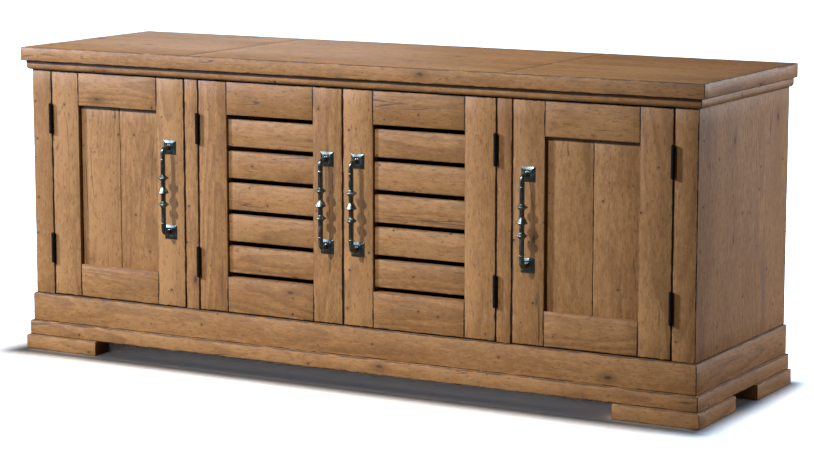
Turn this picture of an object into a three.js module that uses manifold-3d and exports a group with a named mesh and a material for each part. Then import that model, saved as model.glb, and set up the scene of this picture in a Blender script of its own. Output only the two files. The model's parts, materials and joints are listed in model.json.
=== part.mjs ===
// A low media cabinet with four doors: two framed panel doors outside, two louvred doors inside.
// Millimetres, +Z up, front towards -Y. The origin is on the floor, at the centre of the footprint
// that the cabinet and its pulls cover together.

import * as THREE from "three";
import { mergeVertices } from "three/addons/utils/BufferGeometryUtils.js";
import Module from "manifold-3d";

const wasm = await Module();
wasm.setup();

// ---------------------------------------------------------------- driving dimensions

const overallWidth = 1836;
const overallHeight = 762;
const bodyDepth = 532;          // face frame to back, without the overhangs
const topOverhang = 20;         // top board past the body, front and sides
const corniceOverhang = 10;
const plinthUpperProud = 6;
const plinthLowerProud = 13;
const footProud = 20;

const topThick = 34;
const corniceHigh = 22;
const corniceRound = 8;
const footHigh = 36;
const plinthLowerTop = 72;
const plinthTop = 142;
const plinthWall = 20;          // behind the face of the body
const bottomLedge = 10;         // ledge inside the plinth that the bottom board lies on
const footArm = 212;
const footArmWide = 58;

const boardThick = 20;          // side panels and face stiles
const bottomThick = 22;
const shelfThick = 18;
const backThick = 8;
const faceStileWide = 57;
const partitionThick = 38;
const partitionCenter = 424.5;  // centre of each partition from the middle of the cabinet
const shelfTop = 458;
const shelfSetback = 40;
const cableHoleRadius = 30;
const cableHoleHeight = 600;
const cableHoleSides = 24;

const doorThick = 22;
const doorGap = 2.5;            // round each door
const meetingGap = 3;           // between the two middle doors
const doorStileWide = 80;
const panelRailHigh = 81;
const louvreRailTop = 79.5;
const louvreRailBottom = 86;
const panelRecess = 11;
const panelThick = 8;
const panelTongue = 8;          // how far a panel enters its frame
const panelVee = 2.5;           // depth and half width of the joint between the two planks
const slatCount = 5;
const slatHigh = 65.5;
const slatRecess = 7;
const slatThick = 12;
const slatTongue = 8;

const hingeBarrelRadius = 4.75;
const hingeBarrelHigh = 76;
const hingeAxisProud = 5.2;     // hinge axis in front of the doors
const hingeFromEnd = 117;       // hinge centre from the door's end
const hingeLeafThick = 1.1;
const hingeLeafDeep = 19;
const hingeTip = 2.2;            // height of the cone at each end of a barrel
const hingeTipRadius = 2.85;

const pullReach = 35;           // bar centre in front of the door
const pullBarRadius = 6;
const pullElbow = 13;
const pullCenters = 208;
const pullHeight = 432;
const pullPlate = 35;
const pullPlateFlat = 20;
const pullPlateThick = 5;
const ringRadius = 13.5;
const ringPitch = 32.5;
// Outlines of the turned parts: share of the ring's radius, and height from the middle.
const ringOutline = [[0, -7], [0.36, -7], [1, -1], [1, 1], [0.36, 7], [0, 7]];
const bellOutline = [[0, -9], [0.36, -9], [0.95, -4], [0.95, -2], [0.36, 10], [0, 10]];
const roundSides = 12;
const barSteps = 32;            // sections along a pull

const seam = 0.3;               // clearance between pieces that touch

// ---------------------------------------------------------------- derived dimensions

const pullFront = pullReach + ringRadius;
const faceY = pullFront - (pullFront + bodyDepth) / 2;
const bodyHalf = overallWidth / 2 - topOverhang;
const topUnder = overallHeight - topThick;
const corniceUnder = topUnder - corniceHigh;
const openingEdgeOuter = bodyHalf - faceStileWide;
const partitionInner = partitionCenter - partitionThick / 2;
const partitionOuter = partitionCenter + partitionThick / 2;
const insideHalf = bodyHalf - boardThick;
const insideBack = bodyDepth - backThick;
const doorBottom = plinthTop + doorGap;
const doorTop = corniceUnder - doorGap;
const shelfUnder = shelfTop - shelfThick;

// ---------------------------------------------------------------- materials

function finish(color, roughness, metalness) {
  return () => new THREE.MeshStandardMaterial({ color, roughness, metalness });
}

const showWood = finish(0xa97f57, 0.62, 0);
const panelWood = finish(0x9c7650, 0.62, 0);
const insideWood = finish(0x4a3727, 0.8, 0);
const darkIron = finish(0x25292a, 0.42, 0.85);

// ---------------------------------------------------------------- shape helpers

// A box between two opposite corners, as a geometry in its final place.
function boxGeometry(x0, x1, y0, y1, z0, z1) {
  const geometry = new THREE.BoxGeometry(Math.abs(x1 - x0), y1 - y0, z1 - z0);
  return geometry.translate((x0 + x1) / 2, (y0 + y1) / 2, (z0 + z1) / 2);
}

function signedVolume(positions, triangles) {
  const corner = (index) => new THREE.Vector3().fromArray(positions, index * 3);
  let volume = 0;
  for (let i = 0; i < triangles.length; i += 3) {
    const [a, b, c] = [0, 1, 2].map((k) => corner(triangles[i + k]));
    volume += a.dot(b.cross(c)) / 6;
  }
  return volume;
}

// Turns a closed geometry into a solid: shared corners merged, flat triangles dropped, faces out.
function solid(geometry) {
  const bare = geometry.clone();
  bare.deleteAttribute("normal");
  bare.deleteAttribute("uv");
  const merged = mergeVertices(bare, 1e-4);
  const positions = merged.attributes.position.array;
  const triangles = [];
  for (let i = 0; i < merged.index.count; i += 3) {
    const [a, b, c] = [0, 1, 2].map((k) => merged.index.getX(i + k));
    if (a !== b && b !== c && c !== a) triangles.push(a, b, c);
  }
  if (signedVolume(positions, triangles) < 0) triangles.reverse();
  return new wasm.Manifold(new wasm.Mesh({
    numProp: 3,
    vertProperties: new Float32Array(positions),
    triVerts: new Uint32Array(triangles),
  }));
}

function boxSolid(...limits) {
  return solid(boxGeometry(...limits));
}

function geometryOf(manifold) {
  const mesh = manifold.getMesh();
  const geometry = new THREE.BufferGeometry();
  geometry.setAttribute("position", new THREE.BufferAttribute(mesh.vertProperties, 3));
  geometry.setIndex(new THREE.BufferAttribute(mesh.triVerts, 1));
  geometry.computeVertexNormals();
  return geometry;
}

function piece(name, geometry, material) {
  const mesh = new THREE.Mesh(geometry, material());
  mesh.name = name;
  return mesh;
}

function board(name, material, ...limits) {
  return piece(name, boxGeometry(...limits), material);
}

// ---------------------------------------------------------------- cabinet

// Three boards lie side by side over the partitions.
function topBoards() {
  const half = overallWidth / 2;
  const joint = seam / 2;
  const spans = [
    ["top_board_left", -half, -partitionCenter - joint],
    ["top_board_center", -partitionCenter + joint, partitionCenter - joint],
    ["top_board_right", partitionCenter + joint, half],
  ];
  return spans.map(([name, x0, x1]) =>
    board(name, showWood, x0, x1, -topOverhang, bodyDepth, topUnder + seam, overallHeight));
}

// The board under the top, with its lower edge rounded at the front and the sides.
function corniceBoard() {
  const half = bodyHalf + corniceOverhang;
  const spareBack = 40;
  const outline = new THREE.Shape();
  outline.moveTo(-half, -corniceOverhang);
  outline.lineTo(half, -corniceOverhang);
  outline.lineTo(half, bodyDepth + spareBack);
  outline.lineTo(-half, bodyDepth + spareBack);
  outline.closePath();
  const rounded = new THREE.ExtrudeGeometry(outline, {
    depth: corniceHigh,
    bevelThickness: corniceRound,
    bevelSize: corniceRound,
    bevelOffset: -corniceRound,
    bevelSegments: 3,
  }).translate(0, 0, corniceUnder + corniceRound);
  const limits = boxSolid(-half, half, -corniceOverhang, bodyDepth, corniceUnder, topUnder);
  return piece("cornice_board", geometryOf(solid(rounded).intersect(limits)), showWood);
}

function sidePiece(name, sign) {
  const z = [plinthTop + seam, corniceUnder - seam];
  return board(name, showWood, sign * insideHalf, sign * bodyHalf, boardThick + seam, bodyDepth, ...z);
}

function faceStile(name, sign) {
  const z = [plinthTop + seam, corniceUnder - seam];
  return board(name, showWood, sign * openingEdgeOuter, sign * bodyHalf, 0, boardThick, ...z);
}

// A thick upright whose front edge shows between the doors.
function partition(name, sign) {
  const z = [plinthTop + seam, corniceUnder - seam];
  const backFace = insideBack - seam;
  return board(name, showWood, sign * partitionInner, sign * partitionOuter, 0, backFace, ...z);
}

function bottomBoard() {
  const half = insideHalf - seam;
  const y = [boardThick + seam, bodyDepth - plinthWall - seam];
  return board("bottom_board", insideWood, -half, half, ...y, plinthTop - bottomThick, plinthTop);
}

// One hole for cables behind each compartment.
function backPanel() {
  const half = insideHalf - seam;
  const z = [plinthTop + seam, corniceUnder - seam];
  let panel = boxSolid(-half, half, insideBack, bodyDepth - seam, ...z);
  const middle = (insideHalf + partitionOuter) / 2;
  const r = cableHoleRadius;
  const drillLength = 4 * backThick;
  for (const x of [-middle, 0, middle]) {
    const drill = new THREE.CylinderGeometry(r, r, drillLength, cableHoleSides);
    panel = panel.subtract(solid(drill.translate(x, insideBack, cableHoleHeight)));
  }
  return piece("back_panel", geometryOf(panel), insideWood);
}

function shelves() {
  const outer = insideHalf - seam;
  const inner = partitionOuter + seam;
  const middle = partitionInner - seam;
  const spans = [
    ["shelf_left", -outer, -inner],
    ["shelf_center", -middle, middle],
    ["shelf_right", inner, outer],
  ];
  const y = [shelfSetback, insideBack - seam];
  return spans.map(([name, x0, x1]) => board(name, insideWood, x0, x1, ...y, shelfUnder, shelfTop));
}

// A stepped frame of boards on edge, with a ledge inside for the bottom board.
function plinth() {
  const step = (proud, z0, z1) =>
    boxSolid(-bodyHalf - proud, bodyHalf + proud, -proud, bodyDepth, z0, z1);
  const hollow = (inset, z0, z1) => {
    const half = bodyHalf - plinthWall - inset;
    return boxSolid(-half, half, plinthWall + inset, bodyDepth - plinthWall - inset, z0, z1);
  };
  const ledgeTop = plinthTop - bottomThick - seam;
  const through = 1;
  const frame = step(plinthLowerProud, footHigh, plinthLowerTop)
    .add(step(plinthUpperProud, plinthLowerTop - through, plinthTop))
    .subtract(hollow(bottomLedge, footHigh - through, plinthTop + through))
    .subtract(hollow(0, ledgeTop, plinthTop + through));
  return piece("plinth", geometryOf(frame), showWood);
}

// An L in plan, its corner under the cabinet's corner. signX and signY point out of the cabinet.
function foot(name, signX, signY) {
  const cornerX = signX * (bodyHalf + footProud);
  const cornerY = signY < 0 ? -footProud : bodyDepth;
  const toMiddleX = (length) => cornerX - signX * length;
  const toMiddleY = (length) => cornerY - signY * length;
  const outline = new THREE.Shape([
    new THREE.Vector2(cornerX, cornerY),
    new THREE.Vector2(toMiddleX(footArm), cornerY),
    new THREE.Vector2(toMiddleX(footArm), toMiddleY(footArmWide)),
    new THREE.Vector2(toMiddleX(footArmWide), toMiddleY(footArmWide)),
    new THREE.Vector2(toMiddleX(footArmWide), toMiddleY(footArm)),
    new THREE.Vector2(cornerX, toMiddleY(footArm)),
  ]);
  const depth = footHigh - seam;
  return piece(name, new THREE.ExtrudeGeometry(outline, { depth, bevelEnabled: false }), showWood);
}

// ---------------------------------------------------------------- doors

// hand is +1 for a door hinged on its left, -1 for one hinged on its right. Distances along the
// door are measured from its hinge edge.
function alongDoor(door, distance) {
  return door.hingeEdge + door.hand * distance;
}

function stileWithMortises(door, name, from, to, mortises) {
  const z = [doorBottom, doorTop];
  let stile = boxSolid(alongDoor(door, from), alongDoor(door, to), 0, doorThick, ...z);
  for (const cut of mortises) stile = stile.subtract(cut);
  return piece(`${door.name}_${name}`, geometryOf(stile), showWood);
}

function rail(door, name, z0, z1, mortises) {
  const x = [alongDoor(door, doorStileWide + seam), alongDoor(door, door.width - doorStileWide - seam)];
  let solidRail = boxSolid(...x, 0, doorThick, z0, z1);
  for (const cut of mortises) solidRail = solidRail.subtract(cut);
  return piece(`${door.name}_${name}`, geometryOf(solidRail), showWood);
}

function doorFrame(door, railTop, railBottom, mortises) {
  return [
    stileWithMortises(door, "hinge_stile", 0, doorStileWide, mortises),
    stileWithMortises(door, "lock_stile", door.width - doorStileWide, door.width, mortises),
    rail(door, "top_rail", doorTop - railTop, doorTop, mortises),
    rail(door, "bottom_rail", doorBottom, doorBottom + railBottom, mortises),
  ];
}

// Two planks glued edge to edge, with a V joint down the middle, held in grooves in the frame.
function framedPanel(door) {
  const half = door.width / 2 - doorStileWide + panelTongue;
  const front = panelRecess;
  const back = panelRecess + panelThick;
  const z0 = doorBottom + panelRailHigh - panelTongue;
  const z1 = doorTop - panelRailHigh + panelTongue;
  const outline = new THREE.Shape([
    new THREE.Vector2(-half, front),
    new THREE.Vector2(-panelVee, front),
    new THREE.Vector2(0, front + panelVee),
    new THREE.Vector2(panelVee, front),
    new THREE.Vector2(half, front),
    new THREE.Vector2(half, back),
    new THREE.Vector2(-half, back),
  ]);
  const planks = new THREE.ExtrudeGeometry(outline, { depth: z1 - z0, bevelEnabled: false });
  const middle = alongDoor(door, door.width / 2);
  const panel = piece(`${door.name}_panel`, planks.translate(middle, 0, z0), panelWood);
  const groove = boxSolid(middle - half - seam, middle + half + seam,
    front - seam, back + seam, z0 - seam, z1 + seam);
  return [panel, ...doorFrame(door, panelRailHigh, panelRailHigh, [groove])];
}

// Level slats with an open slot above and below each one, their ends let into the stiles.
function louvres(door) {
  const z0 = doorBottom + louvreRailBottom;
  const z1 = doorTop - louvreRailTop;
  const slot = (z1 - z0 - slatCount * slatHigh) / (slatCount + 1);
  const ends = [doorStileWide - slatTongue, door.width - doorStileWide + slatTongue];
  const [xa, xb] = ends.map((distance) => alongDoor(door, distance));
  const low = Math.min(xa, xb);
  const high = Math.max(xa, xb);
  const front = slatRecess;
  const back = slatRecess + slatThick;
  const slats = [];
  const mortises = [];
  for (let i = 0; i < slatCount; i += 1) {
    const top = z1 - slot - i * (slatHigh + slot);
    const under = top - slatHigh;
    slats.push(board(`${door.name}_slat_${i + 1}`, showWood, low, high, front, back, under, top));
    mortises.push(boxSolid(low - seam, high + seam, front - seam, back + seam, under - seam, top + seam));
  }
  return [...slats, ...doorFrame(door, louvreRailTop, louvreRailBottom, mortises)];
}

// A barrel in front of the gap, with the leaf that is let in to the door's edge.
function hinge(door, name, height) {
  const half = hingeBarrelHigh / 2;
  const straight = half - hingeTip;
  const outline = [[0, -half], [hingeTipRadius, -half], [hingeBarrelRadius, -straight],
    [hingeBarrelRadius, straight], [hingeTipRadius, half], [0, half]];
  const barrel = new THREE.LatheGeometry(outline.map(([x, y]) => new THREE.Vector2(x, y)), roundSides);
  barrel.rotateX(Math.PI / 2).translate(door.axisX, -hingeAxisProud, height);
  const inner = door.hingeEdge - door.hand * seam;
  const outer = inner - door.hand * hingeLeafThick;
  const leaf = boxSolid(inner, outer, -hingeAxisProud, hingeLeafDeep, height - straight, height + straight);
  return piece(`${door.name}_${name}`, geometryOf(solid(barrel).add(leaf)), darkIron);
}

// ---------------------------------------------------------------- pulls

// The line that the bar's centre follows: out of the upper plate, down, and back to the lower one.
class PullLine extends THREE.CurvePath {
  constructor() {
    super();
    const top = pullCenters / 2;
    const root = -pullPlateThick / 2;
    const at = (y, z) => new THREE.Vector3(0, y, z);
    this.add(new THREE.LineCurve3(at(root, top), at(pullElbow - pullReach, top)));
    this.add(new THREE.QuadraticBezierCurve3(at(pullElbow - pullReach, top), at(-pullReach, top),
      at(-pullReach, top - pullElbow)));
    this.add(new THREE.LineCurve3(at(-pullReach, top - pullElbow), at(-pullReach, pullElbow - top)));
    this.add(new THREE.QuadraticBezierCurve3(at(-pullReach, pullElbow - top), at(-pullReach, -top),
      at(pullElbow - pullReach, -top)));
    this.add(new THREE.LineCurve3(at(pullElbow - pullReach, -top), at(root, -top)));
  }
}

function turned(outline, height) {
  const points = outline.map(([share, y]) => new THREE.Vector2(share * ringRadius, y));
  const ring = new THREE.LatheGeometry(points, roundSides);
  return solid(ring.rotateX(Math.PI / 2).translate(0, -pullReach, height));
}

function pullPlateSolid(height) {
  const corner = Math.SQRT1_2;
  const plate = new THREE.CylinderGeometry(pullPlate * corner, pullPlateFlat * corner,
    pullPlateThick, 4, 1, false, Math.PI / 4);
  return solid(plate.translate(0, -pullPlateThick / 2 - seam, height));
}

// One forged bar on two hipped plates, with two sharp rings and a bell between them.
function pull(name, x) {
  const section = new THREE.Shape();
  section.absarc(0, 0, pullBarRadius, 0, 2 * Math.PI);
  const bar = new THREE.ExtrudeGeometry(section, {
    steps: barSteps,
    curveSegments: roundSides / 2,
    extrudePath: new PullLine(),
  });
  const whole = solid(bar)
    .add(turned(ringOutline, ringPitch))
    .add(turned(bellOutline, 0))
    .add(turned(ringOutline, -ringPitch))
    .add(pullPlateSolid(pullCenters / 2))
    .add(pullPlateSolid(-pullCenters / 2));
  const mesh = piece(name, geometryOf(whole), darkIron);
  mesh.position.set(x, 0, pullHeight);
  return mesh;
}

// ---------------------------------------------------------------- assembly

function door(name, frameEdge, hand, width, fill) {
  const hingeEdge = frameEdge + hand * doorGap;
  const plan = { name, hand, width, hingeEdge, axisX: frameEdge + hand * doorGap / 2 };
  const group = new THREE.Group();
  group.add(...fill(plan));
  group.add(hinge(plan, "hinge_upper", doorTop - hingeFromEnd));
  group.add(hinge(plan, "hinge_lower", doorBottom + hingeFromEnd));
  group.add(pull(`${name}_pull`, alongDoor(plan, width - doorStileWide / 2)));
  return group;
}

const outerDoorWidth = openingEdgeOuter - partitionOuter - 2 * doorGap;
const innerDoorWidth = partitionInner - doorGap - meetingGap / 2;

const cabinet = new THREE.Group();
cabinet.position.y = faceY;
cabinet.add(...topBoards(), corniceBoard());
cabinet.add(sidePiece("side_panel_left", -1), sidePiece("side_panel_right", 1));
cabinet.add(faceStile("face_stile_left", -1), faceStile("face_stile_right", 1));
cabinet.add(partition("partition_left", -1), partition("partition_right", 1));
cabinet.add(bottomBoard(), backPanel(), ...shelves(), plinth());
cabinet.add(foot("foot_front_left", -1, -1), foot("foot_front_right", 1, -1));
cabinet.add(foot("foot_rear_left", -1, 1), foot("foot_rear_right", 1, 1));
cabinet.add(door("left_door", -openingEdgeOuter, 1, outerDoorWidth, framedPanel));
cabinet.add(door("center_left_door", -partitionInner, 1, innerDoorWidth, louvres));
cabinet.add(door("center_right_door", partitionInner, -1, innerDoorWidth, louvres));
cabinet.add(door("right_door", openingEdgeOuter, -1, outerDoorWidth, framedPanel));

const model = new THREE.Group();
model.add(cabinet);

export default model;
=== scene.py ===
"""A low media cabinet in distressed wood, with framed and louvred doors and forged iron pulls.

Every wooden piece is a board with eased arrises that carries its own grain; the ironwork is spun
and swept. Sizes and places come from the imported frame. Lengths are metres, +Z up, front to -Y.
"""

import json
import math
import random

import bmesh
import bpy
from bpy.props import FloatProperty, FloatVectorProperty, IntProperty, PointerProperty
from mathutils import Matrix, Vector, noise

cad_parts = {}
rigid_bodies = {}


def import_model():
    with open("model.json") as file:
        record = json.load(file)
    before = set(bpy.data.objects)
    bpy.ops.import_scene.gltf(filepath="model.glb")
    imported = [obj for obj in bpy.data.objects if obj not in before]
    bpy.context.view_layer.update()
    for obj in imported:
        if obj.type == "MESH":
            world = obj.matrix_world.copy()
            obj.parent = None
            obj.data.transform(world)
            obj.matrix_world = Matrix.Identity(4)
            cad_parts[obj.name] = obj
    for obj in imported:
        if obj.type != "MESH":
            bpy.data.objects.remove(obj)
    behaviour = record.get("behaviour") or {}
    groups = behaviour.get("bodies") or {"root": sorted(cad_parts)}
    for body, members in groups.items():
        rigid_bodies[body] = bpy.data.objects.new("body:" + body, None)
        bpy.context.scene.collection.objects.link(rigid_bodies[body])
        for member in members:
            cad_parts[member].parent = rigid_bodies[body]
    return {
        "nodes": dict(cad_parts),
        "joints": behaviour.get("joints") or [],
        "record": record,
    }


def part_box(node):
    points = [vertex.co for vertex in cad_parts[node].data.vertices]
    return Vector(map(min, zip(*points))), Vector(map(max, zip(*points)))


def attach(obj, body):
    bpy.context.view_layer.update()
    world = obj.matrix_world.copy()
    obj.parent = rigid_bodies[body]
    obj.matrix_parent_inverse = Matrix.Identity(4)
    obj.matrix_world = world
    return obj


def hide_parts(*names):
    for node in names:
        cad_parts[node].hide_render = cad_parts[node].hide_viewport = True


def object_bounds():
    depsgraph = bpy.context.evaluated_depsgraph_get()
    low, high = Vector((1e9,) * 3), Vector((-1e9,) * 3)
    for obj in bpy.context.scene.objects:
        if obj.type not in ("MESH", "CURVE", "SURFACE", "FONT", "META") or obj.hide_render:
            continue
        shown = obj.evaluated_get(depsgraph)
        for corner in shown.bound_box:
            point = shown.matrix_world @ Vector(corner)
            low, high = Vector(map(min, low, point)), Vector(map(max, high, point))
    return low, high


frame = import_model()
CAD_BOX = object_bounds()

bl_info = {
    "name": "Media Cabinet",
    "version": (1, 0, 0),
    "blender": (4, 5, 0),
    "location": "3D View > Sidebar > Cabinet",
    "description": "Builds a louvred media cabinet in distressed wood around its frame",
    "category": "Object",
}

X, Y, Z = 0, 1, 2
MM = 0.001


# ---------------------------------------------------------------- sizes and colours

class CabinetSizes(bpy.types.PropertyGroup):
    """Sizes of the joinery and the ironwork that the frame leaves open."""

    ease: FloatProperty(name="Arris", description="How far the arrises are eased",
                        default=1.6 * MM, unit="LENGTH")
    wander: FloatProperty(name="Wander", description="How far worn arrises wander inwards",
                          default=0.7 * MM, unit="LENGTH")
    wander_step: FloatProperty(name="Wander step", description="Distance between worn places",
                               default=45 * MM, unit="LENGTH")
    lipping: FloatProperty(name="Lipping", description="Thickness of the strip round the top",
                           default=4 * MM, unit="LENGTH")
    moulding_wide: FloatProperty(name="Moulding", description="Width of the cornice moulding",
                                 default=45 * MM, unit="LENGTH")
    moulding_round: FloatProperty(name="Moulding round", description="Radius under the cornice",
                                  default=9 * MM, unit="LENGTH")
    plinth_step: FloatProperty(name="Plinth step", description="Top of the lower plinth moulding",
                               default=72 * MM, unit="LENGTH")
    plinth_back: FloatProperty(name="Plinth set-back",
                               description="How far the upper plinth board stands behind the lower",
                               default=7 * MM, unit="LENGTH")
    groove_play: FloatProperty(name="Groove play", description="Clearance of a panel in its groove",
                               default=0.3 * MM, unit="LENGTH")
    bar_radius: FloatProperty(name="Bar", description="Radius of a pull's bar",
                              default=5.8 * MM, unit="LENGTH")
    elbow: FloatProperty(name="Elbow", description="Radius of the bends of a pull",
                         default=11 * MM, unit="LENGTH")
    ring_pitch: FloatProperty(name="Ring pitch", description="Distance between the turned rings",
                              default=32.5 * MM, unit="LENGTH")
    leaf: FloatProperty(name="Hinge leaf", description="Thickness of a hinge leaf",
                        default=0.9 * MM, unit="LENGTH")
    knuckles: IntProperty(name="Knuckles", description="Knuckles in each hinge", default=5, min=3)


class CabinetColours(bpy.types.PropertyGroup):
    """Colours of the wood and the iron."""

    light: FloatVectorProperty(name="Light wood", description="Sapwood side of the stain",
                               subtype="COLOR", size=3, default=(0.430, 0.225, 0.085))
    middle: FloatVectorProperty(name="Middle wood", description="Main colour of the stain",
                                subtype="COLOR", size=3, default=(0.305, 0.145, 0.045))
    late: FloatVectorProperty(name="Growth line", description="Dark side of each growth ring",
                              subtype="COLOR", size=3, default=(0.170, 0.074, 0.024))
    # This colour is real dark glaze in holes, checks and knots, and also painted shade: it darkens arrises
    # along gaps and joints and faces that look into recesses.
    glaze_and_shade: FloatVectorProperty(name="Glaze", description="Dark glaze left in holes and on arrises",
                               subtype="COLOR", size=3, default=(0.040, 0.020, 0.010))
    warm: FloatVectorProperty(name="Warm wood", description="Redder clouds in the stain",
                              subtype="COLOR", size=3, default=(0.330, 0.137, 0.045))
    smudge: FloatVectorProperty(name="Smudge", description="Grey-brown mineral streaks",
                                subtype="COLOR", size=3, default=(0.185, 0.112, 0.052))
    mineral: FloatVectorProperty(name="Mineral", description="Blue-grey streaks on the ends",
                                 subtype="COLOR", size=3, default=(0.142, 0.104, 0.074))
    inside: FloatVectorProperty(name="Inside", description="Dark stain inside the cabinet",
                                subtype="COLOR", size=3, default=(0.075, 0.045, 0.028))
    iron: FloatVectorProperty(name="Iron", description="Blackened iron",
                              subtype="COLOR", size=3, default=(0.138, 0.170, 0.168))
    verdigris: FloatVectorProperty(name="Patina", description="Pale green bloom on the iron",
                                   subtype="COLOR", size=3, default=(0.44, 0.55, 0.50))
    floor: FloatVectorProperty(name="Floor", description="Pale studio floor",
                               subtype="COLOR", size=3, default=(0.93, 0.93, 0.93))


class CabinetStage(bpy.types.PropertyGroup):
    """Camera and lights."""

    camera_place: FloatVectorProperty(name="Camera", description="Place of the camera",
                                      subtype="TRANSLATION", size=3,
                                      default=(3.1439, -5.5207, 1.3492))
    camera_yaw: FloatProperty(name="Yaw", description="Turn of the camera to the left",
                              subtype="ANGLE", default=math.radians(29.374))
    camera_dip: FloatProperty(name="Dip", description="How far the camera looks down",
                              subtype="ANGLE", default=math.radians(9.107))
    lens: FloatProperty(name="Lens", description="Focal length in millimetres", default=117.33)
    world: FloatProperty(name="World", description="Strength of the white surroundings",
                         default=0.055, min=0)
    high: FloatProperty(name="High light", description="Power of the distant light in front",
                        default=5000, min=0)
    near: FloatProperty(name="Near light", description="Power of the light beyond the left end",
                        default=590, min=0)
    left: FloatProperty(name="Left light", description="Power of the blue light at the left end",
                        default=17, min=0)
    overhead: FloatProperty(name="Overhead", description="Power of the softbox above",
                            default=15, min=0)
    right: FloatProperty(name="Right", description="Power of the softbox behind the right end",
                         default=138, min=0)
    haze: FloatProperty(name="Haze", description="Power of the softbox behind the left end",
                        default=7, min=0)
    under_gain: FloatProperty(name="Floor gain under", default=7.0, min=1,
                              description="How much paler the floor looks under the cabinet")
    floor_gain: FloatProperty(name="Floor gain", description="The same, round the cabinet",
                              default=14.0, min=1)
    far_gain: FloatProperty(name="Far floor gain", description="The same, away from the cabinet",
                            default=30.0, min=1)


def sizes():
    return bpy.context.scene.cabinet_sizes


def colours():
    return bpy.context.scene.cabinet_colours


def stage():
    return bpy.context.scene.cabinet_stage


# ---------------------------------------------------------------- shader helpers

def add_node(tree, kind, inputs=None, **settings):
    """A node with its settings, and its inputs linked where they are sockets or set where not."""
    node = tree.nodes.new(kind)
    for name, value in settings.items():
        setattr(node, name, value)
    for key, value in (inputs or {}).items():
        if isinstance(value, bpy.types.NodeSocket):
            tree.links.new(value, node.inputs[key])
        else:
            node.inputs[key].default_value = value
    return node


def math_node(tree, operation, *values, clamp=False):
    node = add_node(tree, "ShaderNodeMath", dict(enumerate(values)), operation=operation)
    node.use_clamp = clamp
    return node.outputs[0]


def vector_node(tree, operation, *values):
    node = add_node(tree, "ShaderNodeVectorMath", dict(enumerate(values)), operation=operation)
    return node.outputs["Value" if operation in ("LENGTH", "DOT_PRODUCT") else "Vector"]


def ramp_value(tree, value, low, high, out_low=0.0, out_high=1.0):
    """value from low..high onto out_low..out_high, clamped and smooth."""
    node = add_node(tree, "ShaderNodeMapRange",
                    {"Value": value, "From Min": low, "From Max": high,
                     "To Min": out_low, "To Max": out_high},
                    interpolation_type="SMOOTHSTEP")
    return node.outputs["Result"]


def mix_colour(tree, factor, first, second):
    node = add_node(tree, "ShaderNodeMix", data_type="RGBA")
    for index, value in ((0, factor), (6, first), (7, second)):
        if isinstance(value, bpy.types.NodeSocket):
            tree.links.new(value, node.inputs[index])
        else:
            node.inputs[index].default_value = value
    return node.outputs[2]


def noise_value(tree, vector, stretch, detail=2.0, roughness=0.5, shift=0.0):
    """Noise over vector stretched by three factors, so that it runs along the grain."""
    scaled = vector_node(tree, "MULTIPLY", vector, stretch)
    moved = vector_node(tree, "ADD", scaled, (shift, shift, shift))
    node = add_node(tree, "ShaderNodeTexNoise",
                    {"Vector": moved, "Scale": 1.0, "Detail": detail, "Roughness": roughness})
    return node.outputs[0]


def new_group(name, inputs, outputs):
    tree = bpy.data.node_groups.new(name, "ShaderNodeTree")
    for label, kind, default in inputs:
        socket = tree.interface.new_socket(label, in_out="INPUT", socket_type=kind)
        socket.default_value = default
    for label, kind in outputs:
        tree.interface.new_socket(label, in_out="OUTPUT", socket_type=kind)
    return tree, tree.nodes.new("NodeGroupInput").outputs, tree.nodes.new("NodeGroupOutput").inputs


def opaque(colour):
    return (*colour, 1.0)


# ---------------------------------------------------------------- shared effects

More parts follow.
